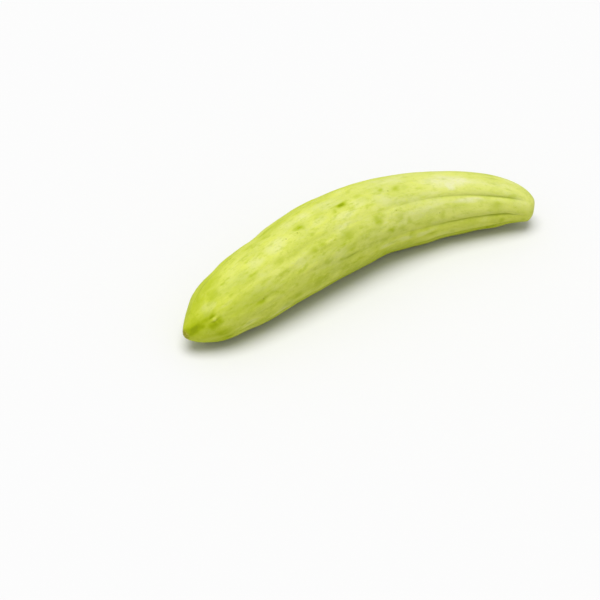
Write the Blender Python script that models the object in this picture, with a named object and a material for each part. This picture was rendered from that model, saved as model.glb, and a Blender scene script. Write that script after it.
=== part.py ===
"""An Armenian cucumber: one whole ribbed fruit, lying on its side.

Metres, +Z up. The stem end is at -X, the blossom end at +X, and the fruit bows towards +Y. The origin is on
the surface that the fruit lies on, under the middle of its box.

A place on the skin is given by its share of the length, 0 at the stem end and 1 at the blossom end, and by
its turn round the centre line in degrees: 0 faces +Y, 90 is the top, 180 faces -Y and 270 is underneath.
"""

import bmesh
import bpy
import numpy as np

# The centre line, which lies level
LENGTH = 0.3228
STEM_TIP = (-0.15718, -0.02596)
HEADING_AT = ((0.0, 9.0), (0.35, 13.25), (0.7, -6.4), (1.0, -41.0))  # share of the length, degrees left of +X

# The body without its ribs
RADIUS_AT = ((0.05, 0.0207), (0.30, 0.0304), (0.60, 0.0301), (0.95, 0.0205))  # share of the length, metres
STEM_NOSE, BLOSSOM_NOSE = 0.119, 0.199  # shares of the length that the rounded ends take
STEM_BLUNTNESS, BLOSSOM_BLUNTNESS = 0.63, 0.30  # exponents: the lower, the blunter
FLATTENED = 0.0008  # depth of the flat that the fruit rests on

# Nine grooves, with a rib between each two: each one's turn at the stem end, the middle and the blossom end,
# and its depth in mm at the same three places
GROOVES = (
    ((16, 14, 18), (0.6, 1.5, 1.5)),
    ((56, 52, 56), (0.3, 0.7, 1.0)),
    ((80, 91, 90), (0.2, 0.4, 0.9)),
    ((106, 131, 126), (0.2, 0.6, 1.7)),
    ((141, 175, 170), (0.2, 0.6, 2.0)),
    ((200, 216, 212), (0.5, 1.2, 1.2)),
    ((246, 255, 250), (0.8, 1.4, 1.3)),
    ((288, 294, 292), (0.9, 1.6, 1.3)),
    ((330, 334, 336), (0.8, 1.8, 1.6)),
)
RIB_ROUNDNESS = 2.8
RIB_MEAN = RIB_ROUNDNESS / (1 + RIB_ROUNDNESS)
WANDER, WANDER_WAVES = 1.2, 2.3  # degrees that a groove strays, and how often along the fruit
WANDER_STEP = 2.4  # radians by which one groove's waves lie ahead of the next one's
# The grooves meet a little off the axis at the blossom end: the most degrees that one bends by, the turn of
# the one that stays straight, and the share of the length over which they bend
BEND, STRAIGHT_TURN, BEND_LENGTH = 20, 126, 0.09
RIB_FADE_STEM, RIB_FADE_BLOSSOM = 0.10, 0.07  # shares of the length over which the ribs die away

# Swellings and dips: share of the length, turn, half their length as a share, half their width in degrees, mm
LUMPS = (
    (0.035, 228, 0.030, 60, -0.5),
    (0.07, 32, 0.035, 45, 1.2),
    (0.12, 225, 0.040, 50, -1.1),
    (0.17, 40, 0.030, 45, 0.8),
    (0.27, 41, 0.032, 42, -1.4),
    (0.40, 300, 0.060, 50, 0.6),
    (0.54, 50, 0.050, 40, 0.6),
    (0.58, 225, 0.040, 40, -1.3),
    (0.70, 228, 0.040, 45, 1.2),
    (0.74, 55, 0.045, 40, -0.5),
    (0.82, 330, 0.050, 50, -0.7),
    (0.86, 230, 0.045, 50, -1.0),
    (0.92, 57, 0.060, 45, 1.2),
    (0.94, 130, 0.050, 15, 0.6),
    (0.94, 230, 0.030, 50, -1.8),
    (0.99, 231, 0.012, 60, 2.4),
    (0.99, 58, 0.010, 60, -0.5),
)

# The scars where the stalk and the flower came off, each a small dimple
STEM_SCAR_RADIUS, STEM_SCAR_DEPTH = 0.0028, 0.0007
BLOSSOM_SCAR_RADIUS, BLOSSOM_SCAR_DEPTH = 0.0032, 0.0005

# The skin's finish
SKIN_COLOUR = (0.56, 0.63, 0.15, 1)
SKIN_ROUGHNESS = 0.5

# The mesh
COLUMNS_PER_RIB = 6
RINGS = 64
SPHERE_START = 0.5  # the sphere's first column lies half a step past its X axis
COLUMN_CROWDING = 0.5  # how far the columns draw in towards the grooves
RING_CROWDING = 0.5  # how far the rings draw in towards the two ends
LINE_STEPS = 4000
ON_THE_CUT = 0.00002  # a point this close to the flat is put on it
SHARP_EDGE = 40  # degrees


def smooth_line(stations, share):
    """The cubic through four stations, each a share of the length and a value."""
    places, values = zip(*stations)
    return np.polyval(np.polyfit(places, values, 3), share)


def along(stem, middle, blossom, share):
    """The parabola through the values at the two ends and the middle."""
    curve = 2 * (stem + blossom - 2 * middle)
    return stem + (blossom - stem - curve) * share + curve * share**2


def smooth_step(value):
    value = np.clip(value, 0, 1)
    return value * value * (3 - 2 * value)


def body_radius(share):
    return smooth_line(RADIUS_AT, share)


def nose(distance, length, bluntness):
    """From 0 at a tip to 1 where the nose meets the body."""
    reached = np.clip(distance / length, 0, 1)
    return (1 - (1 - reached) ** 2) ** bluntness


def plain_radius(share):
    stem = nose(share, STEM_NOSE, STEM_BLUNTNESS)
    blossom = nose(1 - share, BLOSSOM_NOSE, BLOSSOM_BLUNTNESS)
    return body_radius(share) * stem * blossom


def centre_line(share):
    """The point above which a ring of skin is centred, as x and y, and the line's heading there."""
    fine = np.linspace(0, 1, LINE_STEPS + 1)
    heading = np.radians(smooth_line(HEADING_AT, fine))
    middles = (heading[1:] + heading[:-1]) / 2
    step = LENGTH / LINE_STEPS
    x = STEM_TIP[0] + np.concatenate(([0], np.cumsum(np.cos(middles)) * step))
    y = STEM_TIP[1] + np.concatenate(([0], np.cumsum(np.sin(middles)) * step))
    return np.interp(share, fine, x), np.interp(share, fine, y), np.interp(share, fine, heading)


def groove_turn(number, share):
    """Turn of a groove at each share of the length. A number past the last one has gone once round."""
    rounds, index = np.divmod(number, len(GROOVES))
    stem, middle, blossom = np.array([turns for turns, _ in GROOVES], float)[index].T
    stray = WANDER * np.sin(2 * np.pi * WANDER_WAVES * share + WANDER_STEP * index)
    turn = along(stem, middle, blossom, share)
    bend = BEND * np.sin(np.radians(turn - STRAIGHT_TURN)) * smooth_step(1 - (1 - share) / BEND_LENGTH)
    return 360 * rounds + turn + stray + bend


def groove_depth(number, share):
    stem, middle, blossom = np.array([depths for _, depths in GROOVES])[number % len(GROOVES)].T
    return along(stem, middle, blossom, share) / 1000


def rib_fade(share):
    return smooth_step(share / RIB_FADE_STEM) * smooth_step((1 - share) / RIB_FADE_BLOSSOM)


def turn_and_relief(share, place):
    """Turn in degrees and height of the ribs, where a place counts ribs: a whole number is in a groove."""
    number = np.floor(place).astype(int)
    across = place - number
    across = across - COLUMN_CROWDING * np.sin(2 * np.pi * across) / (2 * np.pi)
    turn = groove_turn(number, share) * (1 - across) + groove_turn(number + 1, share) * across
    depth = groove_depth(number, share) * (1 - across) + groove_depth(number + 1, share) * across
    bulge = 1 - np.abs(2 * across - 1) ** RIB_ROUNDNESS
    return turn, depth * (bulge - RIB_MEAN) * rib_fade(share)


def lumps(share, turn):
    height = np.zeros_like(share)
    for centre, towards, half_length, half_width, millimetres in LUMPS:
        apart = (turn - towards + 180) % 360 - 180
        falloff = np.exp(-(((share - centre) / half_length) ** 2) - (apart / half_width) ** 2)
        height += millimetres / 1000 * falloff
    return height


def scar_dip(share, radius):
    """How far the skin moves towards the blossom end: in at the stem scar, and back in at the other."""
    stem = STEM_SCAR_DEPTH * smooth_step(1 - radius / STEM_SCAR_RADIUS)
    blossom = BLOSSOM_SCAR_DEPTH * smooth_step(1 - radius / BLOSSOM_SCAR_RADIUS)
    return np.where(share < 0.5, stem, -blossom)


def skin_points(share, place):
    """Points of the skin, before its underside is flattened."""
    turn, ribs = turn_and_relief(share, place)
    plain = plain_radius(share)
    end_fade = plain / body_radius(share)
    radius = plain + ribs + lumps(share, turn) * end_fade
    x, y, heading = centre_line(share)
    height = body_radius(share) - FLATTENED
    sideways = radius * np.cos(np.radians(turn))
    forwards = scar_dip(share, radius)
    return np.stack(
        [
            x - sideways * np.sin(heading) + forwards * np.cos(heading),
            y + sideways * np.cos(heading) + forwards * np.sin(heading),
            height + radius * np.sin(np.radians(turn)),
        ],
        axis=-1,
    )


def ring_shares(count):
    """Shares of the length for rings that are evenly spaced along the skin, but closer at the two ends."""
    fine = (1 - np.cos(np.linspace(0, np.pi, LINE_STEPS + 1))) / 2
    steps = np.hypot(np.diff(fine) * LENGTH, np.diff(plain_radius(fine)))
    travelled = np.concatenate(([0], np.cumsum(steps)))
    even = np.linspace(0, 1, count + 1)
    eased = (1 - np.cos(np.pi * even)) / 2
    wanted = (1 - RING_CROWDING) * even + RING_CROWDING * eased
    return np.interp(wanted * travelled[-1], travelled, fine)


def shape_skin(bm, columns, rings):
    """Moves the points of a unit sphere, whose poles become the two ends, onto the skin."""
    sphere = np.array([vert.co for vert in bm.verts])
    ring = np.rint(np.arccos(np.clip(-sphere[:, 2], -1, 1)) / np.pi * rings).astype(int)
    round_share = np.arctan2(sphere[:, 1], sphere[:, 0]) / (2 * np.pi)
    column = np.rint(round_share * columns - SPHERE_START) % columns
    points = skin_points(ring_shares(rings)[ring], column / COLUMNS_PER_RIB)
    for vert, point in zip(bm.verts, points):
        vert.co = point


def flatten_underside(bm):
    """Cuts the fruit off level at the surface that it lies on, and closes the cut with a flat face."""
    everything = bm.verts[:] + bm.edges[:] + bm.faces[:]
    bmesh.ops.bisect_plane(
        bm, geom=everything, dist=ON_THE_CUT, plane_co=(0, 0, 0), plane_no=(0, 0, 1), clear_inner=True
    )
    rim = [edge for edge in bm.edges if edge.is_boundary]
    for vert in {vert for edge in rim for vert in edge.verts}:
        vert.co.z = 0
    bmesh.ops.holes_fill(bm, edges=rim)


def skin_material():
    material = bpy.data.materials.new("skin")
    material.use_nodes = True
    shader = material.node_tree.nodes["Principled BSDF"]
    shader.inputs["Base Color"].default_value = SKIN_COLOUR
    shader.inputs["Roughness"].default_value = SKIN_ROUGHNESS
    shader.inputs["Metallic"].default_value = 0
    return material


def make_fruit():
    bm = bmesh.new()
    columns = COLUMNS_PER_RIB * len(GROOVES)
    bmesh.ops.create_uvsphere(bm, u_segments=columns, v_segments=RINGS, radius=1)
    shape_skin(bm, columns, RINGS)
    flatten_underside(bm)
    bmesh.ops.recalc_face_normals(bm, faces=bm.faces)
    mesh = bpy.data.meshes.new("fruit")
    bm.to_mesh(mesh)
    bm.free()
    mesh.shade_smooth()
    mesh.set_sharp_from_angle(angle=np.radians(SHARP_EDGE))
    mesh.materials.append(skin_material())
    fruit = bpy.data.objects.new("fruit", mesh)
    bpy.context.scene.collection.objects.link(fruit)
    return fruit


def clear_scene():
    for thing in list(bpy.data.objects):
        bpy.data.objects.remove(thing)


clear_scene()
make_fruit()
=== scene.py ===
"""The looks of an Armenian cucumber: its fine ribbed skin, the marks on it, and a plain white studio.

Metres, +Z up. The stem end is at -X, the blossom end at +X, and the fruit bows towards +Y. A place on
the skin is given by its share of the length, 0 at the stem end and 1 at the blossom end, and by its turn
round the centre line in degrees: 0 faces +Y, 90 is the top, 180 faces -Y and 270 is underneath.
"""

from math import cos, radians, sin

import bpy
import numpy as np
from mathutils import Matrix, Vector, noise


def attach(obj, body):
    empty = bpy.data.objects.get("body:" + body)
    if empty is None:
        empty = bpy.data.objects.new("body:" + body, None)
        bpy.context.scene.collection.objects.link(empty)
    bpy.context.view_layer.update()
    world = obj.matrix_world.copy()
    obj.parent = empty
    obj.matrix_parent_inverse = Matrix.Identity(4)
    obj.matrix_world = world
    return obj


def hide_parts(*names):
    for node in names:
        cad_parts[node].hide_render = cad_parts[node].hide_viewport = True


# The form, as the solid has it
LENGTH = 0.3228
STEM_TIP = (-0.15718, -0.02596)
# The line along the middle: share of the length, and its heading in degrees left of +X
HEADING_AT = ((0.0, 9.0), (0.35, 13.25), (0.7, -6.4), (1.0, -41.0))
# The body, before its ends are rounded: share of the length, and radius
RADIUS_AT = ((0.05, 0.0207), (0.30, 0.0304), (0.60, 0.0301), (0.95, 0.0205))
STEM_NOSE, BLOSSOM_NOSE = 0.119, 0.199  # shares of the length that the rounded ends take
STEM_BLUNTNESS, BLOSSOM_BLUNTNESS = 0.63, 0.30  # exponents: the lower, the blunter
FLATTENED = 0.0008  # depth of the flat that the fruit rests on

# Nine grooves, with a rib between each two: each one's turn at the stem end, the middle and the blossom
# end, and its depth in mm at the same three places
GROOVES = (
    ((16, 14, 18), (0.6, 1.5, 1.5)),
    ((56, 52, 56), (0.3, 0.7, 1.0)),
    ((80, 91, 90), (0.2, 0.4, 0.9)),
    ((106, 131, 126), (0.2, 0.6, 1.7)),
    ((141, 175, 170), (0.2, 0.6, 2.0)),
    ((200, 216, 212), (0.5, 1.2, 1.2)),
    ((246, 255, 250), (0.8, 1.4, 1.3)),
    ((288, 294, 292), (0.9, 1.6, 1.3)),
    ((330, 334, 336), (0.8, 1.8, 1.6)),
)
RIB_ROUNDNESS = 2.8  # exponent: the higher, the flatter the rib and the sharper the groove
RIB_MEAN = RIB_ROUNDNESS / (1 + RIB_ROUNDNESS)
WANDER, WANDER_WAVES = 1.2, 2.3  # degrees that a groove strays, and how often along the fruit
WANDER_STEP = 2.4  # radians by which one groove's waves lie ahead of the next one's
# The grooves meet a little off the axis at the blossom end: the most degrees that one bends by, the turn
# of the one that stays straight, and the share of the length over which they bend
BEND, STRAIGHT_TURN, BEND_LENGTH = 20, 126, 0.09
RIB_FADE_STEM, RIB_FADE_BLOSSOM = 0.10, 0.07  # shares of the length over which the ribs die away

# Swellings and dips: share of the length, turn, half their length as a share, half their width in degrees,
# and their height in mm
LUMPS = (
    (0.035, 228, 0.030, 60, -0.5),
    (0.07, 32, 0.035, 45, 1.2),
    (0.12, 225, 0.040, 50, -1.1),
    (0.17, 40, 0.030, 45, 0.8),
    (0.27, 41, 0.032, 42, -1.4),
    (0.40, 300, 0.060, 50, 0.6),
    (0.54, 50, 0.050, 40, 0.6),
    (0.58, 225, 0.040, 40, -1.3),
    (0.70, 228, 0.040, 45, 1.2),
    (0.74, 55, 0.045, 40, -0.5),
    (0.82, 330, 0.050, 50, -0.7),
    (0.86, 230, 0.045, 50, -1.0),
    (0.92, 57, 0.060, 45, 1.2),
    (0.94, 130, 0.050, 15, 0.6),
    (0.94, 230, 0.030, 50, -1.8),
    (0.99, 231, 0.012, 60, 2.4),
    (0.99, 58, 0.010, 60, -0.5),
)
STEM_SCAR_RADIUS, STEM_SCAR_DEPTH = 0.0028, 0.0007
BLOSSOM_SCAR_RADIUS, BLOSSOM_SCAR_DEPTH = 0.0032, 0.0005

# The fine mesh
COLUMNS_PER_RIB = 28
COLUMNS = COLUMNS_PER_RIB * len(GROOVES)
RINGS = 378
COLUMN_CROWDING = 0.5  # how far the columns draw in towards the grooves
RING_CROWDING = 0.5  # how far the rings draw in towards the two ends
LINE_STEPS = 4000  # short straight steps that stand for the line along the middle

# The fine relief
CREASE_DEPTH, CREASE_HALF_WIDTH = 0.0003, 0.0009  # the sharp line at the bottom of each deep groove
CREASED_FROM, CREASED_FULLY = 0.0007, 0.0014  # depths of a groove between which its sharp line appears
CREASE_FADE = 0.10  # share of the length over which the creases die away at each end
CREASE_WANDER, CREASE_BENDS = 0.0005, 30.0  # how far the line strays, and how often along the fruit
CREASE_BREAKS = 9.0  # how often along the fruit the line comes and goes
CREASE_USUAL, CREASE_VARIES, CREASE_LEAST = 0.8, 0.9, 0.1  # its strength as it comes and goes
BEND_STEP, BREAK_STEP = 2.3, 3.7  # these set one groove's bends and breaks apart from the next one's
VALLEY_DEPTH, VALLEY_HALF_WIDTH = 0.00045, 0.0028  # the soft valley that each crease lies in
GROOVE_NARROWNESS = 3  # exponent: the higher, the closer a groove's tint keeps to its bottom

# Soft unevenness, from broad swells to small dents: height, and size along and across the fruit
UNEVENNESS = ((0.00045, 0.034, 0.016), (0.00044, 0.026, 0.0062), (0.00015, 0.0075, 0.0028))
CALM_BLOSSOM = 0.35  # how much of the unevenness is missing in the blossom half
CALM_FROM, CALM_OVER = 0.4, 0.25  # share of the length where that begins, and the share that it takes

# Seeds, which keep the noises apart from each other, and how far one step of the seed moves a noise
BREAK_SEED, BEND_SEED, UNEVENNESS_SEED, STRAY_SEED = 3, 4, 5, 8
SEED_STEP = (17.3, 5.1, 9.7)

# Fine wrinkles by chance on the hidden sides: share of the length, turn, half length, depth and slant
WRINKLE_SEED, WRINKLE_COUNT, WRINKLE_HALF_WIDTH = 5, 80, 0.0006
WRINKLE_RANGES = ((0.08, 0.95), (190, 420), (0.004, 0.016), (0.0001, 0.0004), (-0.06, 0.06))

# Short creases seen on the skin: share of the length, turn, half length and half width in mm, depth in mm
WRINKLES = (
    (0.89, 84, 8, 0.8, 0.25),
    (0.895, 101, 9, 0.7, 0.20),
    (0.93, 108, 7, 0.6, 0.16),
    (0.43, 172, 8, 0.9, 0.30),
    (0.33, 165, 9, 1.4, 0.25),
    (0.29, 127, 6, 1.4, 0.20),
    (0.18, 160, 10, 1.4, 0.20),
)
# Soft crests seen on the skin, given as the creases are
CRESTS = (
    (0.28, 136, 16, 1.8, 0.40),
    (0.37, 138, 12, 1.8, 0.45),
    (0.17, 130, 16, 1.8, 0.35),
    (0.30, 157, 7, 1.2, 0.35),
    (0.60, 137, 12, 2.2, 0.35),
)
# The pimple, its height and radius, and how much longer it is along the fruit than across
PIMPLE = (0.056, 141)
PIMPLE_HEIGHT, PIMPLE_RADIUS, PIMPLE_STRETCH = 0.0007, 0.0012, 2.2
# The dip round it, as shares of its height and radius: how deep, how far out, and half its width
DIP_DEPTH, DIP_RADIUS, DIP_HALF_WIDTH = 0.35, 1.6, 0.5

# Green marks in the skin, two of them painted shade: share of the length, turn, half length and half width
# in mm, strength
MARKS_AND_SHADE = (
    (0.469, 99, 4.6, 1.8, 1.5),
    (0.467, 100, 8.0, 3.4, 0.35),
    (0.443, 103, 2.2, 1.3, 0.8),
    (0.340, 100, 2.6, 2.2, 1.0),
    (0.345, 100, 5.0, 5.0, 0.2),
    (0.400, 100, 5.0, 3.5, 0.35),
    (0.434, 141, 5.0, 2.6, 0.8),
    (0.332, 137, 3.5, 1.8, 0.75),
    (0.357, 137, 2.2, 1.3, 0.8),
    (0.357, 163, 5.0, 2.0, 0.55),
    (0.434, 162, 5.0, 2.2, 0.7),
    (0.324, 184, 4.5, 2.0, 0.7),
    (0.253, 186, 5.0, 2.4, 0.6),
    (0.232, 193, 5.0, 3.0, 0.8),
    (0.237, 141, 5.0, 2.2, 0.35),
    (0.245, 123, 4.5, 2.2, 0.6),
    (0.292, 126, 3.5, 2.0, 0.5),
    (0.167, 159, 5.5, 2.0, 1.0),
    (0.194, 154, 4.0, 2.0, 0.4),
    (0.230, 73, 6.0, 3.0, 0.4),
    # painted shade: this broad faint green spot darkens the front of the stem half
    (0.138, 145, 18.0, 7.0, 0.55),
    (0.531, 104, 6.0, 3.0, 0.4),
    (0.142, 109, 12.0, 4.0, 0.35),
    (0.292, 127, 12.0, 2.2, 0.35),
    (0.522, 151, 8.0, 3.0, 0.4),
    (0.400, 150, 9.0, 4.0, 0.3),
    (0.426, 172, 7.0, 2.4, 0.5),
    (0.626, 130, 6.0, 2.0, 0.4),
    (0.268, 72, 12.0, 3.6, 0.3),
    (0.308, 63, 12.0, 3.4, 0.4),
    (0.091, 71, 9.0, 3.4, 0.5),
    (0.082, 97, 4.5, 4.2, 0.8),
    (0.086, 72, 9.0, 5.0, 0.6),
    (0.080, 58, 12.0, 6.0, 0.6),
    (0.020, 134, 6.0, 4.6, 1.6),
    (0.038, 131, 6.5, 4.0, 1.1),
    (0.050, 153, 5.0, 3.4, 1.2),
    (0.063, 150, 3.2, 3.2, 1.2),
    (0.055, 131, 2.8, 1.8, 1.2),
    # painted shade: this spot stands in for the shadow in a small dent
    (0.066, 184, 6.5, 2.8, 1.2),
    (0.045, 47, 9.0, 4.0, 0.45),
    (0.025, 62, 6.0, 4.0, 0.4),
    (0.050, 75, 7.0, 5.0, 0.5),
    (0.522, 97, 4.5, 2.4, 0.5),
    (0.583, 99, 2.3, 1.4, 0.9),
    (0.626, 103, 3.6, 2.2, 0.9),
    (0.651, 104, 4.0, 2.2, 0.4),
    (0.549, 137, 3.2, 3.0, 0.25),
    (0.534, 142, 3.6, 3.6, 0.9),
    (0.566, 162, 3.8, 1.8, 0.95),
    (0.600, 147, 3.4, 2.6, 0.45),
    (0.626, 157, 2.2, 2.0, 0.7),
    (0.600, 164, 3.0, 2.0, 0.5),
    (0.634, 180, 2.2, 1.8, 0.6),
    (0.700, 192, 4.0, 1.6, 0.5),
    (0.732, 162, 2.4, 2.8, 0.55),
    (0.792, 147, 7.0, 2.4, 0.25),
    (0.898, 152, 5.5, 3.8, 0.5),
    (0.914, 193, 1.6, 3.6, 0.8),
    (0.945, 121, 4.0, 2.6, 0.35),
    (0.870, 73, 10.0, 2.5, 0.4),
    (0.214, 93, 8.0, 4.0, 0.35),
    (0.130, 119, 8.0, 2.6, 0.35),
    (0.417, 158, 5.0, 2.2, 0.4),
    (0.469, 154, 6.0, 2.2, 0.4),
    (0.082, 152, 6.0, 4.0, 0.4),
    (0.040, 180, 7.0, 4.0, 0.35),
)
# How far the edges of the marks stray along and round the fruit, and over what length and width
MARK_STRAY, MARK_RAGS = (0.0022, 0.0014), (0.0065, 0.0034)

# Pale patches, given as the marks are: partly pale skin, and partly painted highlights on the upper side
# and painted light along the lower edge
PALE_AND_LIT_PATCHES = (
    (0.765, 101, 26.0, 9.0, 1.1),
    (0.716, 103, 8.0, 5.0, 0.9),
    (0.840, 104, 20.0, 7.0, 0.8),
    (0.918, 97, 14.0, 7.0, 0.7),
    (0.609, 136, 13.0, 3.0, 0.7),
    (0.557, 148, 5.0, 2.4, 0.9),
    (0.700, 140, 24.0, 3.0, 0.5),
    (0.813, 140, 24.0, 3.2, 1.1),
    (0.840, 156, 26.0, 5.0, 0.6),
    (0.988, 165, 9.0, 9.0, 0.55),
    (0.945, 188, 10.0, 3.0, 0.6),
    (0.220, 121, 14.0, 5.0, 0.5),
    (0.903, 140, 16.0, 2.8, 0.8),
    (0.945, 146, 16.0, 7.0, 0.45),
    (0.480, 131, 20.0, 2.8, 0.7),
    (0.864, 184, 6.0, 3.0, 0.7),
    (0.850, 199, 16.0, 4.0, 0.6),
    (0.574, 137, 7.0, 2.2, 0.5),
    (0.740, 186, 20.0, 2.6, 0.6),
    (0.258, 100, 15.0, 8.0, 0.95),
    (0.470, 117, 12.0, 4.0, 1.0),
    (0.651, 174, 10.0, 3.0, 0.7),
    (0.374, 82, 9.0, 6.0, 0.8),
    (0.374, 116, 10.0, 5.0, 0.6),
    (0.443, 113, 12.0, 4.0, 0.9),
    (0.496, 70, 8.0, 5.0, 0.8),
    (0.154, 82, 9.0, 8.0, 0.4),
    (0.056, 108, 8.0, 7.0, 0.85),
    (0.090, 128, 8.0, 3.0, 0.8),
    (0.035, 194, 12.0, 4.0, 0.55),
    (0.300, 199, 16.0, 4.0, 0.6),
    (0.540, 124, 8.0, 3.0, 0.8),
    (0.800, 166, 30.0, 6.0, 0.7),
    (0.920, 164, 18.0, 5.0, 0.7),
    (0.280, 135, 16.0, 2.0, 0.5),
    (0.170, 129, 14.0, 2.0, 0.5),
    (0.308, 156, 7.0, 1.6, 0.6),
    (0.383, 139, 8.0, 2.0, 0.8),
    (0.438, 180, 7.0, 2.0, 0.4),
    (0.332, 203, 20.0, 5.0, 0.6),
    (0.383, 193, 9.0, 3.5, 0.7),
    (0.276, 194, 9.0, 3.5, 0.7),
    (0.140, 211, 14.0, 5.0, 0.7),
    (0.124, 186, 14.0, 3.0, 0.9),
    (0.223, 134, 16.0, 3.0, 0.7),
    (0.496, 187, 10.0, 3.5, 0.7),
    (0.557, 184, 14.0, 4.0, 0.9),
    (0.609, 184, 12.0, 3.5, 0.9),
    (0.676, 186, 16.0, 3.6, 0.9),
    (0.391, 106, 12.0, 5.0, 0.9),
    (0.953, 176, 10.0, 4.0, 0.7),
    (0.987, 137, 6.0, 7.0, 0.7),
    (0.194, 102, 10.0, 7.0, 0.9),
    (0.105, 125, 10.0, 5.0, 0.6),
    (0.443, 128, 12.0, 4.0, 0.8),
    (0.510, 108, 12.0, 6.0, 0.9),
    (0.770, 112, 7.0, 5.0, 1.3),
)
PATCH_STRAY, PATCH_RAGS = (0.0050, 0.0022), (0.0130, 0.0055)
SPOT_FLATNESS, SPOT_FALL = 1.2, 0.7  # how even a mark or patch is inside, and how fast its edge fades

# On the sides that can't be seen, marks and patches are scattered by chance: the shares of the length and
# the turns, then half length, half width and strength
UNSEEN_SHARES, UNSEEN_TURNS = (0.05, 0.96), (195, 425)
SCATTER_SEED, MARK_COUNT, PATCH_COUNT = 11, 80, 24
SCATTERED_MARKS = ((2, 6), (1.2, 3.2), (0.3, 1))
SCATTERED_PATCHES = ((10, 30), (4, 10), (0.4, 1))

# Dark specks in the skin: share of the length and turn
SPECKS = (
    (0.292, 102),
    (0.324, 104),
    (0.601, 105),
    (0.596, 137),
    (0.725, 157),
    (0.17, 158),
    (0.84, 250),
    (0.4, 20),
)
SPECK_RADIUS = 0.0006
SPECK_CORE = SPECK_RADIUS / 3  # inside this radius a speck has its full colour

# Colours of the skin: linear red, green and blue, and 1 because none is see-through
PALE = (0.58, 0.62, 0.110, 1)
MIDDLE = (0.48, 0.545, 0.045, 1)
BRIGHT = (0.63, 0.67, 0.10, 1)
# cream of the skin, also laid on as a painted highlight on the upper side and on the patches
CREAM_AND_HIGHLIGHT = (0.68, 0.68, 0.38, 1)
GREEN = (0.34, 0.42, 0.003, 1)
VIVID = (0.50, 0.57, 0.010, 1)
OLIVE = (0.17, 0.22, 0.003, 1)
DEEP = (0.24, 0.31, 0.003, 1)
# painted shade: the darker, greener colour of the underside
UNDERSIDE_SHADE = (0.37, 0.44, 0.007, 1)
BROWN = (0.27, 0.26, 0.015, 1)
TAN = (0.44, 0.43, 0.07, 1)
SPECK = (0.14, 0.13, 0.03, 1)

# Noises in the skin: size across the fruit, how much longer they are along it, detail and shift
CLOUDS = (0.010, 2.6, 4.0, 0.0)
PALE_CLOUDS = (0.012, 2.8, 3.0, 3.0)
BLOTCHES = (0.0042, 2.4, 4.0, 5.0)
MOTTLE = (0.0021, 1.7, 3.0, 7.0)
FIBRES = (0.0014, 9.0, 3.0, 0.0)
GRAIN = (0.0006, 1.6, 2.0, 0.0)
NOISE_ROUGHNESS = 0.55
NOISE_MIDDLE = 0.5

# A band gives the two values between which a tint comes in. Those of the fruit's regions are in metres
# along, across and above the line along its middle, if the fruit were straightened
BLOSSOM_HALF_BAND = (0.10, 0.26)
# the upper side that faces the light, where the highlight is painted
HIGHLIGHT_SIDE_BANDS = ((0.020, 0.070), (0.018, 0.002), (-0.006, 0.018))  # along, across and above
# painted shade: vivid green on the far upper rim, which takes the grey reflection of the surround off it
FAR_RIM_SHADE_BANDS = ((0.004, 0.018), (0.007, 0.018))  # across and above
FAR_RIM_SHADE_TINT = 0.5
# painted shade on the underside, lessened in the blossom half
UNDERSIDE_SHADE_BAND, UNDERSIDE_SHADE_TINT, UNDERSIDE_SHADE_LESS = (0.013, -0.014), 0.78, 0.28
STEM_VIVID_BAND, STEM_VIVID_TINT = (0.036, 0.006), 0.6
STEM_GREEN_BAND, STEM_GREEN_TINT = (0.030, 0.002), 0.2

# The ground colour, and cream on the clouds and the patches. On the upper side the cream is a painted
# highlight, stronger in the blossom half, and the patches are partly pale skin and partly painted light
PALE_BAND, PALE_LEAST, PALE_TINT = (0.34, 0.66), 0.15, 0.7
# the patches in bright yellow-green and cream: partly pale skin, partly painted highlight and painted light
PATCH_BRIGHT_AND_LIT_BAND, PATCH_BRIGHT_AND_LIT_TINT = (0.0, 0.7), 0.60
PATCH_CREAM_AND_HIGHLIGHT_BAND, PATCH_CREAM_AND_HIGHLIGHT_TINT = (0.5, 1.4), 0.78
CREAM_CLOUD_BAND, CREAM_CLOUD_TINT, CREAM_CLOUD_HIGHLIGHT = (0.46, 0.74), 0.08, 0.24
PAINTED_HIGHLIGHT_TINT, PAINTED_HIGHLIGHT_BLOSSOM = 0.10, 0.15

# Mottling: a noise's values at which a coat is absent and full, its strength, and its colour
BLOTCH_BAND, BLOTCH_TINT, BLOTCH_LESS = (0.50, 0.74), 0.61, 0.28
MOTTLE_COATS = ((0.52, 0.76, 0.50, BRIGHT), (0.48, 0.24, 0.36, GREEN))
MOTTLE_LESS = 0.35  # how much of it is missing in the blossom half
FIBRE_COATS = ((0.5, 0.8, 0.10, CREAM_AND_HIGHLIGHT), (0.5, 0.25, 0.08, GREEN))
GRAIN_COATS = ((0.5, 0.8, 0.26, BRIGHT), (0.5, 0.2, 0.16, GREEN))

# Tints of the grooves, the marks and their dark hearts, the pimple's painted glint, the creases, the scar
# and the specks
GROOVE_TINT = 0.20
MARK_TINT, MARK_VARIES = 0.82, 0.9
HEART_BAND, HEART_TINT = (0.85, 1.7), 0.8
PIMPLE_GLINT_BAND, PIMPLE_GLINT_TINT = (PIMPLE_RADIUS * 1.6, PIMPLE_RADIUS * 0.6), 0.7
CREASE_BAND, CREASE_TINT = (0.05, 1.0), 0.45
SCAR_BAND, SCAR_RAGS, SCAR_TINT = (0.0026, 0.0008), 0.0012, 0.9
SCAR_TAN_BAND = (0.50, 0.62)
SPECK_TINT = 0.8

# Gloss and the finest relief
ROUGHNESS, ROUGHER_GRAIN, ROUGHER_MARK = 0.46, 0.12, 0.04
FIBRE_RELIEF, FIBRE_CALM, GRAIN_RELIEF = 0.9, 0.6, 0.5
BUMP_STRENGTH, BUMP_HEIGHT = 0.3, 0.0003

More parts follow.
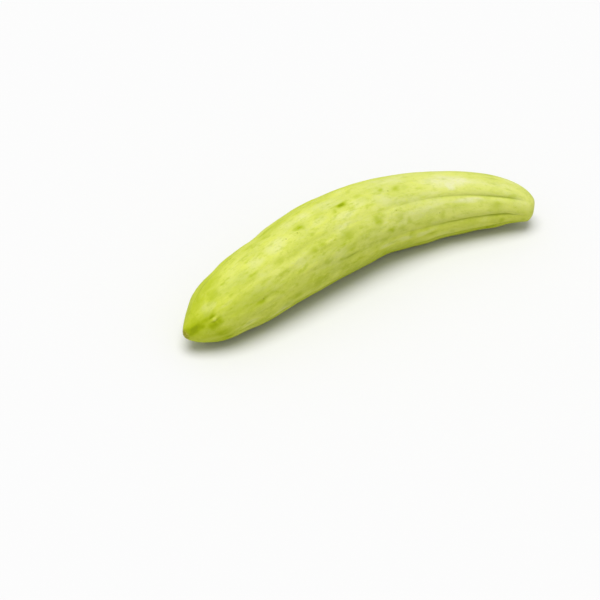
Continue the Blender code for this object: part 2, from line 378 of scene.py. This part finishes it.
# The camera and the studio, with angles in degrees and the lens in mm
CAMERA_AIM = (-0.0545, -0.0151, 0.0)
CAMERA_DISTANCE = 1.25
CAMERA_AZIMUTH, CAMERA_ELEVATION = -29.48, 40.0
CAMERA_LENS = 99
FLOOR_SIZE = 14.0
FLOOR_GREY = (0.715, 0.715, 0.715, 1)
LIGHT_STRENGTH, LIGHT_SPREAD = 2.60, 46.0  # the spread is how wide the overhead light looks
LIGHT_AZIMUTH, LIGHT_ELEVATION = -65.0, 85.0
SURROUND_WHITE, SURROUND_STRENGTH = (1, 1, 1, 1), 0.54


def smooth_line(stations, share):
    """The cubic through four stations, each a share of the length and a value."""
    places, values = zip(*stations)
    return np.polyval(np.polyfit(places, values, 3), share)


def along(stem, middle, blossom, share):
    """The parabola through the values at the two ends and the middle."""
    curve = 2 * (stem + blossom - 2 * middle)
    return stem + (blossom - stem - curve) * share + curve * share**2


def smooth_step(value):
    value = np.clip(value, 0, 1)
    return value * value * (3 - 2 * value)


def fade(share, at_stem, at_blossom):
    """From 0 at both tips to 1 where these shares of the length have been passed."""
    return smooth_step(share / at_stem) * smooth_step((1 - share) / at_blossom)


def hump(apart):
    """From 1 at a distance of 0, smoothly down to nothing some way past a distance of 1."""
    return np.exp(-(apart**2))


def body_radius(share):
    return smooth_line(RADIUS_AT, share)


def nose(distance, length, bluntness):
    """From 0 at a tip to 1 where the nose meets the body."""
    reached = np.clip(distance / length, 0, 1)
    return (1 - (1 - reached) ** 2) ** bluntness


def plain_radius(share):
    """The radius without ribs or lumps, with both ends rounded."""
    stem = nose(share, STEM_NOSE, STEM_BLUNTNESS)
    blossom = nose(1 - share, BLOSSOM_NOSE, BLOSSOM_BLUNTNESS)
    return body_radius(share) * stem * blossom


def centre_line(share):
    """The point above which a ring of skin is centred, as x and y, and the line's heading there."""
    fine = np.linspace(0, 1, LINE_STEPS + 1)
    heading = np.radians(smooth_line(HEADING_AT, fine))
    middles = (heading[1:] + heading[:-1]) / 2
    step = LENGTH / LINE_STEPS
    x = STEM_TIP[0] + np.concatenate(([0], np.cumsum(np.cos(middles)) * step))
    y = STEM_TIP[1] + np.concatenate(([0], np.cumsum(np.sin(middles)) * step))
    return np.interp(share, fine, x), np.interp(share, fine, y), np.interp(share, fine, heading)


def groove_turn(number, share):
    """Turn of a groove at each share of the length. A number past the last one has gone once round."""
    rounds, index = np.divmod(number, len(GROOVES))
    stem, middle, blossom = np.array([turns for turns, _ in GROOVES], float)[index].T
    stray = WANDER * np.sin(2 * np.pi * WANDER_WAVES * share + WANDER_STEP * index)
    turn = along(stem, middle, blossom, share)
    bend = BEND * np.sin(np.radians(turn - STRAIGHT_TURN)) * smooth_step(1 - (1 - share) / BEND_LENGTH)
    return 360 * rounds + turn + stray + bend


def groove_depth(number, share):
    stem, middle, blossom = np.array([depths for _, depths in GROOVES])[number % len(GROOVES)].T
    return along(stem, middle, blossom, share) / 1000


def rib_fade(share):
    return fade(share, RIB_FADE_STEM, RIB_FADE_BLOSSOM)


def lumps(share, turn):
    """How far all the swellings and dips raise the skin."""
    height = np.zeros_like(share)
    for centre, towards, half_length, half_width, millimetres in LUMPS:
        apart = (turn - towards + 180) % 360 - 180
        falloff = np.exp(-(((share - centre) / half_length) ** 2) - (apart / half_width) ** 2)
        height += millimetres / 1000 * falloff
    return height


def scar_dip(share, radius):
    """How far the skin moves towards the blossom end: in at the stem scar, and back in at the other."""
    stem = STEM_SCAR_DEPTH * smooth_step(1 - radius / STEM_SCAR_RADIUS)
    blossom = BLOSSOM_SCAR_DEPTH * smooth_step(1 - radius / BLOSSOM_SCAR_RADIUS)
    return np.where(share < 0.5, stem, -blossom)


def ring_shares(count):
    """Shares of the length for rings that are evenly spaced along the skin, but closer at the two ends."""
    fine = (1 - np.cos(np.linspace(0, np.pi, LINE_STEPS + 1))) / 2
    steps = np.hypot(np.diff(fine) * LENGTH, np.diff(plain_radius(fine)))
    travelled = np.concatenate(([0], np.cumsum(steps)))
    even = np.linspace(0, 1, count + 1)
    eased = (1 - np.cos(np.pi * even)) / 2
    wanted = (1 - RING_CROWDING) * even + RING_CROWDING * eased
    return np.interp(wanted * travelled[-1], travelled, fine)


def noise_at(points, seed):
    """Smooth noise from -1 to 1 at each point, where 1 is the size of its features."""
    away = Vector([seed * step for step in SEED_STEP])
    return np.array([noise.noise(Vector(point) + away) for point in points])


class Skin:
    """The fruit's surface as arrays, one value for each point of the mesh."""

    def __init__(self, share, place):
        """The place is the number of the groove before a point, and how far it is to the next one."""
        self.share = share
        self.number = np.floor(place).astype(int)
        across = place - self.number
        self.across = across - COLUMN_CROWDING * np.sin(2 * np.pi * across) / (2 * np.pi)
        first = groove_turn(self.number, share)
        second = groove_turn(self.number + 1, share)
        self.turn = first * (1 - self.across) + second * self.across
        self.plain = plain_radius(share)
        self.rib_width = np.radians(second - first) * self.plain
        self.end_fade = self.plain / body_radius(share)
        self.crease = np.zeros_like(share)

    def straight(self):
        """Each point's place on the fruit if it were straightened."""
        angle = np.radians(self.turn)
        return np.stack(
            [self.share * LENGTH, self.plain * np.cos(angle), self.plain * np.sin(angle)], axis=-1
        )

    def distance(self, share, turn):
        """How far along and how far round the skin every point is from a place on it."""
        apart = (self.turn - turn + 180) % 360 - 180
        return (self.share - share) * LENGTH, np.radians(apart) * self.plain

    def depth(self):
        """The depth of the two nearest grooves, shared out over the rib between them."""
        first = groove_depth(self.number, self.share)
        second = groove_depth(self.number + 1, self.share)
        return first * (1 - self.across) + second * self.across

    def ribs(self):
        bulge = 1 - np.abs(2 * self.across - 1) ** RIB_ROUNDNESS
        return self.depth() * (bulge - RIB_MEAN) * rib_fade(self.share)

    def groove(self):
        """From 0 on the crest of a rib to 1 at the bottom of a full groove."""
        full = np.clip(self.depth() / CREASED_FULLY, 0, 1)
        return np.abs(2 * self.across - 1) ** GROOVE_NARROWNESS * full * rib_fade(self.share)

    def nearest_groove(self):
        """The number of the groove nearest to each point, and how far round the skin it is."""
        past_middle = self.across >= 0.5
        near = np.where(past_middle, self.number + 1, self.number) % len(GROOVES)
        apart = np.where(past_middle, self.across - 1, self.across) * self.rib_width
        return near, apart

    def along_groove(self, near, often, step, seed):
        """Noise that changes along each groove, this often over the whole length."""
        return noise_at(np.stack([self.share * often, near * step, near * 0], axis=-1), seed)

    def creases(self):
        """The sharp line in each deep groove, which comes and goes, and the soft valley that it lies in."""
        near, apart = self.nearest_groove()
        apart = apart - CREASE_WANDER * self.along_groove(near, CREASE_BENDS, BEND_STEP, BEND_SEED)
        breaks = self.along_groove(near, CREASE_BREAKS, BREAK_STEP, BREAK_SEED)
        broken = np.clip(CREASE_USUAL + CREASE_VARIES * breaks, CREASE_LEAST, 1)
        depth = groove_depth(near, self.share)
        deep = smooth_step((depth - CREASED_FROM) / (CREASED_FULLY - CREASED_FROM))
        ends = fade(self.share, CREASE_FADE, CREASE_FADE)
        line = hump(apart / CREASE_HALF_WIDTH) * (broken * deep * ends)
        valley = hump(apart / VALLEY_HALF_WIDTH) * deep * ends
        self.crease = np.maximum(self.crease, line)
        return -CREASE_DEPTH * line - VALLEY_DEPTH * valley

    def wrinkle(self, share, turn, half_length, half_width, depth, slant=0.0):
        """One short crease, or a crest where its depth is negative."""
        forward, round_it = self.distance(share, turn)
        round_it = round_it - slant * forward
        line = np.exp(-((forward / half_length) ** 2) - (round_it / half_width) ** 2)
        tint = np.clip(depth / CREASE_DEPTH, 0, 1) * (half_width <= CREASE_HALF_WIDTH)
        self.crease = np.maximum(self.crease, line * tint)
        return -depth * line

    def wrinkles(self):
        """The short creases and crests that were seen, and the fine wrinkles placed by chance."""
        height = np.zeros_like(self.share)
        for share, turn, half_length, half_width, depth in WRINKLES:
            height += self.wrinkle(share, turn, half_length / 1000, half_width / 1000, depth / 1000)
        for share, turn, half_length, half_width, rise in CRESTS:
            height += self.wrinkle(share, turn, half_length / 1000, half_width / 1000, -rise / 1000)
        chance = np.random.default_rng(WRINKLE_SEED)
        for _ in range(WRINKLE_COUNT):
            drawn = [chance.uniform(low, high) for low, high in WRINKLE_RANGES]
            share, turn, half_length, depth, slant = drawn
            height += self.wrinkle(share, turn, half_length, WRINKLE_HALF_WIDTH, depth, slant)
        return height * self.end_fade

    def unevenness(self):
        height = np.zeros_like(self.share)
        for seed, (depth, size_along, size_across) in enumerate(UNEVENNESS, start=UNEVENNESS_SEED):
            height += depth * noise_at(self.straight() / (size_along, size_across, size_across), seed)
        calm = CALM_BLOSSOM * smooth_step((self.share - CALM_FROM) / CALM_OVER)
        return height * self.end_fade * (1 - calm)

    def pimple(self):
        """A small rise with a shallow dip round it."""
        forward, round_it = self.distance(*PIMPLE)
        apart = np.hypot(forward / PIMPLE_STRETCH, round_it) / PIMPLE_RADIUS
        dip = hump((apart - DIP_RADIUS) / DIP_HALF_WIDTH)
        return PIMPLE_HEIGHT * (hump(apart) - DIP_DEPTH * dip)

    def spots(self, spots, stray, rags):
        """How far each point is inside the strongest of these spots, whose edges are ragged."""
        points = self.straight() / (rags[0], rags[1], rags[1])
        stray_along = noise_at(points, STRAY_SEED) * stray[0]
        stray_round = noise_at(points, STRAY_SEED + 1) * stray[1]
        inside = np.zeros_like(self.share)
        for share, turn, half_length, half_width, strength in spots:
            forward, round_it = self.distance(share, turn)
            forward = (forward + stray_along) * 1000 / half_length
            round_it = (round_it + stray_round) * 1000 / half_width
            falloff = np.exp(-((forward**2 + round_it**2) ** SPOT_FLATNESS) * SPOT_FALL)
            inside = np.maximum(inside, strength * falloff)
        return inside

    def points(self):
        """The finished surface, pressed flat where it meets the floor."""
        relief = self.ribs() + self.creases() + self.wrinkles() + self.unevenness() + self.pimple()
        radius = self.plain + relief + lumps(self.share, self.turn) * self.end_fade
        x, y, heading = centre_line(self.share)
        sideways = radius * np.cos(np.radians(self.turn))
        upwards = radius * np.sin(np.radians(self.turn))
        forwards = scar_dip(self.share, radius)
        return np.stack(
            [
                x - sideways * np.sin(heading) + forwards * np.cos(heading),
                y + sideways * np.cos(heading) + forwards * np.sin(heading),
                np.maximum(body_radius(self.share) - FLATTENED + upwards, 0),
            ],
            axis=-1,
        )


def scatter(seed, count, ranges):
    """Spots placed by chance on the sides that the photograph doesn't show."""
    lows, highs = zip(UNSEEN_SHARES, UNSEEN_TURNS, *ranges)
    return tuple(np.random.default_rng(seed).uniform(lows, highs, (count, len(lows))))


def grid_places(mesh):
    """Each point of the sphere as a share of the length and a place round the grooves."""
    sphere = np.empty(len(mesh.vertices) * 3)
    mesh.vertices.foreach_get("co", sphere)
    x, y, z = sphere.reshape(-1, 3).T
    ring = np.rint(np.arccos(np.clip(-z, -1, 1)) / np.pi * RINGS).astype(int)
    column = np.rint(np.arctan2(y, x) / (2 * np.pi) * COLUMNS) % COLUMNS
    return ring_shares(RINGS)[ring], column / COLUMNS_PER_RIB


def keep_attribute(mesh, name, values):
    """Keeps one number or one vector for each point of the mesh, for the finish to read."""
    kind, field = ("FLOAT", "value") if values.ndim == 1 else ("FLOAT_VECTOR", "vector")
    layer = mesh.attributes.new(name, kind, "POINT")
    layer.data.foreach_set(field, np.asarray(values, np.float32).ravel())


def keep_markings(mesh, skin):
    """What the finish reads from the mesh. The creases are known once the points have been worked out."""
    keep_attribute(mesh, "straightened", skin.straight())
    keep_attribute(mesh, "crease", skin.crease)
    marks = MARKS_AND_SHADE + scatter(SCATTER_SEED, MARK_COUNT, SCATTERED_MARKS)
    patches = PALE_AND_LIT_PATCHES + scatter(SCATTER_SEED + 1, PATCH_COUNT, SCATTERED_PATCHES)
    keep_attribute(mesh, "mark_and_shade", skin.spots(marks, MARK_STRAY, MARK_RAGS))
    keep_attribute(mesh, "pale_and_lit_patch", skin.spots(patches, PATCH_STRAY, PATCH_RAGS))
    keep_attribute(mesh, "groove", skin.groove())


def make_fruit():
    """A sphere whose poles are the two ends, with its points moved onto the skin."""
    bpy.ops.object.select_all(action="DESELECT")
    bpy.ops.mesh.primitive_uv_sphere_add(segments=COLUMNS, ring_count=RINGS, radius=1)
    fruit = bpy.context.object
    fruit.name = "ribbed_skin"
    mesh = fruit.data
    skin = Skin(*grid_places(mesh))
    mesh.vertices.foreach_set("co", skin.points().ravel())
    keep_markings(mesh, skin)
    mesh.update()
    bpy.ops.object.shade_smooth()
    mesh.materials.append(SkinFinish().finished())
    return fruit


class Wire:
    """A shader socket that takes part in sums: each operator adds its Math node."""

    def __init__(self, finish, socket):
        self.finish = finish
        self.socket = socket

    def maths(self, operation, first, second):
        settings = {"operation": operation}
        return self.finish.node("ShaderNodeMath", settings, {0: first, 1: second})

    def __add__(self, other):
        return self.maths("ADD", self, other)

    def __radd__(self, other):
        return self.maths("ADD", other, self)

    def __sub__(self, other):
        return self.maths("SUBTRACT", self, other)

    def __rsub__(self, other):
        return self.maths("SUBTRACT", other, self)

    def __mul__(self, other):
        return self.maths("MULTIPLY", self, other)

    def __rmul__(self, other):
        return self.maths("MULTIPLY", other, self)

    def rise(self, low, high):
        """From 0 below low to 1 above high, smoothly. With low above high it falls instead."""
        settings = {"interpolation_type": "SMOOTHSTEP"}
        sockets = {"Value": self, "From Min": low, "From Max": high}
        return self.finish.node("ShaderNodeMapRange", settings, sockets)


class Finish:
    """A material under construction."""

    def __init__(self, name):
        self.material = bpy.data.materials.new(name)
        self.material.use_nodes = True
        self.tree = self.material.node_tree
        self.tree.nodes.clear()

    def feed(self, socket, value):
        """Links a wire to a node's socket, or sets the socket's own value."""
        if isinstance(value, Wire):
            self.tree.links.new(value.socket, socket)
        else:
            socket.default_value = value

    def node(self, kind, settings=None, sockets=None, output=0):
        """Adds a node, and gives one of its outputs."""
        made = self.tree.nodes.new(kind)
        for name, value in (settings or {}).items():
            setattr(made, name, value)
        for name, value in (sockets or {}).items():
            self.feed(made.inputs[name], value)
        return Wire(self, made.outputs[output] if made.outputs else None)

    def attribute(self, name, output):
        return self.node("ShaderNodeAttribute", {"attribute_name": name}, output=output)

    def part(self, vector, axis):
        """One coordinate of a vector."""
        return self.node("ShaderNodeSeparateXYZ", None, {0: vector}, axis)

    def noise(self, place, size, stretch, detail, shift):
        """Noise with features of this size across the fruit, and stretched along it."""
        sockets = {0: place, 1: (1 / (size * stretch), 1 / size, 1 / size), 2: (shift, shift, shift)}
        spread = self.node("ShaderNodeVectorMath", {"operation": "MULTIPLY_ADD"}, sockets, "Vector")
        sockets = {"Vector": spread, "Scale": 1.0, "Detail": detail, "Roughness": NOISE_ROUGHNESS}
        return self.node("ShaderNodeTexNoise", None, sockets)

    def mix(self, share, under, over):
        """The colour under, with this share of the colour over."""
        made = self.node("ShaderNodeMix", {"data_type": "RGBA", "clamp_factor": True}).socket.node
        inputs = {socket.identifier: socket for socket in made.inputs}
        self.feed(inputs["Factor_Float"], share)
        self.feed(inputs["A_Color"], under)
        self.feed(inputs["B_Color"], over)
        outputs = {socket.identifier: socket for socket in made.outputs}
        return Wire(self, outputs["Result_Color"])

    def close(self, shader):
        self.node("ShaderNodeOutputMaterial", None, {"Surface": shader})
        return self.material


class SkinFinish(Finish):
    """The skin's material, whose colour is laid on in thin coats, each over the last."""

    def __init__(self):
        super().__init__("cucumber_skin")
        self.place = self.attribute("straightened", "Vector")
        self.forward, self.sideways, self.upwards = [self.part(self.place, axis) for axis in "XYZ"]
        self.crease = self.attribute("crease", "Fac")
        self.mark_and_shade = self.attribute("mark_and_shade", "Fac")
        self.pale_and_lit_patch = self.attribute("pale_and_lit_patch", "Fac")
        self.groove = self.attribute("groove", "Fac")
        self.blotches = self.noise(self.place, *BLOTCHES)
        self.fibres = self.noise(self.place, *FIBRES)
        self.grain = self.noise(self.place, *GRAIN)
        self.blossom_half = self.forward.rise(*BLOSSOM_HALF_BAND)
        self.colour = MIDDLE

    def coat(self, share, colour):
        """Lays this share of a colour over the coats so far."""
        self.colour = self.mix(share, self.colour, colour)

    def coats(self, pattern, coats):
        """Lays on each of these coats where the pattern lies between its two values."""
        for absent, full, strength, colour in coats:
            self.coat(pattern.rise(absent, full) * strength, colour)

    def distance(self, share, turn):
        """How far a point of the skin is from the place with this share of the length and turn."""
        radius = float(plain_radius(share))
        centre = (share * LENGTH, radius * cos(radians(turn)), radius * sin(radians(turn)))
        settings = {"operation": "DISTANCE"}
        return self.node("ShaderNodeVectorMath", settings, {0: self.place, 1: centre}, "Value")

    def upper(self):
        """Near 1 on the upper side that faces the light, away from the stem end: where the highlight is
        painted.
        """
        ahead, across, above = HIGHLIGHT_SIDE_BANDS
        return self.upwards.rise(*above) * self.sideways.rise(*across) * self.forward.rise(*ahead)

    def ground(self):
        """Pale clouds on green, painted shade on the underside, bright patches that are partly pale skin
        and partly painted light, vivid green at the stem end, and vivid green painted on the far rim as
        shade against its grey reflection.
        """
        clouds = self.noise(self.place, *CLOUDS)
        self.coat(PALE_LEAST + clouds.rise(*PALE_BAND) * PALE_TINT, PALE)
        # painted shade: the underside darkened and greened, less so in the blossom half
        under = UNDERSIDE_SHADE_TINT - self.blossom_half * UNDERSIDE_SHADE_LESS
        self.coat(self.upwards.rise(*UNDERSIDE_SHADE_BAND) * under, UNDERSIDE_SHADE)
        # bright yellow-green on the patches: partly pale skin, partly painted light
        self.coat(self.pale_and_lit_patch.rise(*PATCH_BRIGHT_AND_LIT_BAND) * PATCH_BRIGHT_AND_LIT_TINT, BRIGHT)
        self.coat(self.forward.rise(*STEM_VIVID_BAND) * STEM_VIVID_TINT, VIVID)
        # painted shade: vivid green on the far upper rim against the grey reflection there
        across, above = FAR_RIM_SHADE_BANDS
        far_rim_shade = self.sideways.rise(*across) * self.upwards.rise(*above)
        self.coat(far_rim_shade * FAR_RIM_SHADE_TINT, VIVID)

    def cream(self):
        """Cream in the skin's clouds and on the patches, and a painted highlight in cream on the upper
        side, over the clouds there and on the top.
        """
        upper = self.upper()
        clouds = self.noise(self.place, *PALE_CLOUDS).rise(*CREAM_CLOUD_BAND)
        # cream clouds of the skin, made stronger on the upper side as a painted highlight
        in_clouds = clouds * (CREAM_CLOUD_TINT + upper * CREAM_CLOUD_HIGHLIGHT)
        # painted highlight on the top, stronger in the blossom half
        painted_highlight = upper * (PAINTED_HIGHLIGHT_TINT + self.blossom_half * PAINTED_HIGHLIGHT_BLOSSOM)
        # cream on the patches: partly pale skin, partly painted highlight
        in_pale_and_lit_patches = self.pale_and_lit_patch.rise(*PATCH_CREAM_AND_HIGHLIGHT_BAND) * PATCH_CREAM_AND_HIGHLIGHT_TINT
        self.coat(in_clouds + painted_highlight + in_pale_and_lit_patches, CREAM_AND_HIGHLIGHT)

    def mottling(self):
        """Blotches, small mottle, fibres and grain, fainter in the blossom half."""
        strength = BLOTCH_TINT - self.blossom_half * BLOTCH_LESS
        self.coat(self.blotches.rise(*BLOTCH_BAND) * strength, GREEN)
        mottle = self.noise(self.place, *MOTTLE)
        calm = 1.0 - self.blossom_half * MOTTLE_LESS
        for absent, full, strength, colour in MOTTLE_COATS:
            self.coat(mottle.rise(absent, full) * calm * strength, colour)
        self.coats(self.fibres, FIBRE_COATS)
        self.coats(self.grain, GRAIN_COATS)

    def markings(self):
        """The green of the grooves, the marks with their dark hearts, and the creases, and a painted glint
        on the pimple. Two of the marks are painted shade.
        """
        self.coat(self.groove * GROOVE_TINT, GREEN)
        green = self.mark_and_shade * (1.0 + (self.blotches - NOISE_MIDDLE) * MARK_VARIES)
        self.coat(green * MARK_TINT, GREEN)
        self.coat(green.rise(*HEART_BAND) * HEART_TINT, OLIVE)
        # painted highlight: a pale glint on top of the pimple
        self.coat(self.distance(*PIMPLE).rise(*PIMPLE_GLINT_BAND) * PIMPLE_GLINT_TINT, PALE)
        self.coat(self.crease.rise(*CREASE_BAND) * CREASE_TINT, DEEP)

    def stem_end(self):
        """A green tip with a ragged brown scar."""
        self.coat(self.forward.rise(*STEM_GREEN_BAND) * STEM_GREEN_TINT, GREEN)
        scar = (self.forward + (self.grain - NOISE_MIDDLE) * SCAR_RAGS).rise(*SCAR_BAND)
        self.coat(scar * SCAR_TINT, BROWN)
        self.coat(scar * self.fibres.rise(*SCAR_TAN_BAND), TAN)

    def specks(self):
        inside = 0.0
        for share, turn in SPECKS:
            inside = self.distance(share, turn).rise(SPECK_RADIUS, SPECK_CORE) + inside
        self.coat(inside * SPECK_TINT, SPECK)

    def roughness(self):
        return ROUGHNESS + (self.grain - NOISE_MIDDLE) * ROUGHER_GRAIN + self.mark_and_shade * ROUGHER_MARK

    def bump(self):
        """Fibres and grain too fine for the mesh, calmer in the blossom half."""
        height = self.fibres * (FIBRE_RELIEF - self.blossom_half * FIBRE_CALM) + self.grain * GRAIN_RELIEF
        sockets = {"Strength": BUMP_STRENGTH, "Distance": BUMP_HEIGHT, "Height": height}
        return self.node("ShaderNodeBump", None, sockets, "Normal")

    def finished(self):
        for lay_on in (self.ground, self.cream, self.mottling, self.markings, self.stem_end, self.specks):
            lay_on()
        sockets = {
            "Base Color": self.colour,
            "Roughness": self.roughness(),
            "Normal": self.bump(),
            "Subsurface Weight": 0.12,
            "Subsurface Radius": (0.5, 0.6, 0.2),
            "Subsurface Scale": 0.004,
            "IOR": 1.40,
            "Specular IOR Level": 0.09,
        }
        return self.close(self.node("ShaderNodeBsdfPrincipled", None, sockets))


def floor_finish():
    finish = Finish("white_floor")
    return finish.close(finish.node("ShaderNodeBsdfDiffuse", None, {"Color": FLOOR_GREY}))


def make_floor():
    bpy.ops.mesh.primitive_plane_add(size=FLOOR_SIZE)
    floor = bpy.context.object
    floor.name = "floor"
    floor.data.materials.append(floor_finish())


def direction(azimuth, elevation):
    """The way to something seen at this azimuth and elevation, in degrees. Azimuth 0 is -Y."""
    azimuth, elevation = radians(azimuth), radians(elevation)
    return Vector((sin(azimuth) * cos(elevation), -cos(azimuth) * cos(elevation), sin(elevation)))


def make_light():
    back = direction(LIGHT_AZIMUTH, LIGHT_ELEVATION)
    bpy.ops.object.light_add(type="SUN", location=back)
    light = bpy.context.object
    light.name = "overhead_light"
    light.data.energy = LIGHT_STRENGTH
    light.data.angle = radians(LIGHT_SPREAD)
    light.rotation_euler = back.to_track_quat("Z", "Y").to_euler()


def make_surround():
    """Plain white all round, with colours shown as they are."""
    world = bpy.data.worlds.new("white_surround")
    world.use_nodes = True
    surround = world.node_tree.nodes["Background"]
    surround.inputs["Color"].default_value = SURROUND_WHITE
    surround.inputs["Strength"].default_value = SURROUND_STRENGTH
    bpy.context.scene.world = world
    bpy.context.scene.view_settings.view_transform = "Standard"


def make_camera():
    back = direction(CAMERA_AZIMUTH, CAMERA_ELEVATION)
    bpy.ops.object.camera_add(location=Vector(CAMERA_AIM) + back * CAMERA_DISTANCE)
    camera = bpy.context.object
    camera.rotation_euler = back.to_track_quat("Z", "Y").to_euler()
    camera.data.lens = CAMERA_LENS
    bpy.context.scene.camera = camera


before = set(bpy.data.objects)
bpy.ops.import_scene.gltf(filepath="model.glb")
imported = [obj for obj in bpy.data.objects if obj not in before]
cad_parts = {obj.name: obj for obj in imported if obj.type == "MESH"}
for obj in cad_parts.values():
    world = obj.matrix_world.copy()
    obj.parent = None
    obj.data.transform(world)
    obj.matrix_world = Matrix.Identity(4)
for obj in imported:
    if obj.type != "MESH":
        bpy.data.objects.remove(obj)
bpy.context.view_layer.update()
skin = make_fruit()
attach(skin, "root")
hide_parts("fruit")
make_floor()
make_light()
make_surround()
make_camera()
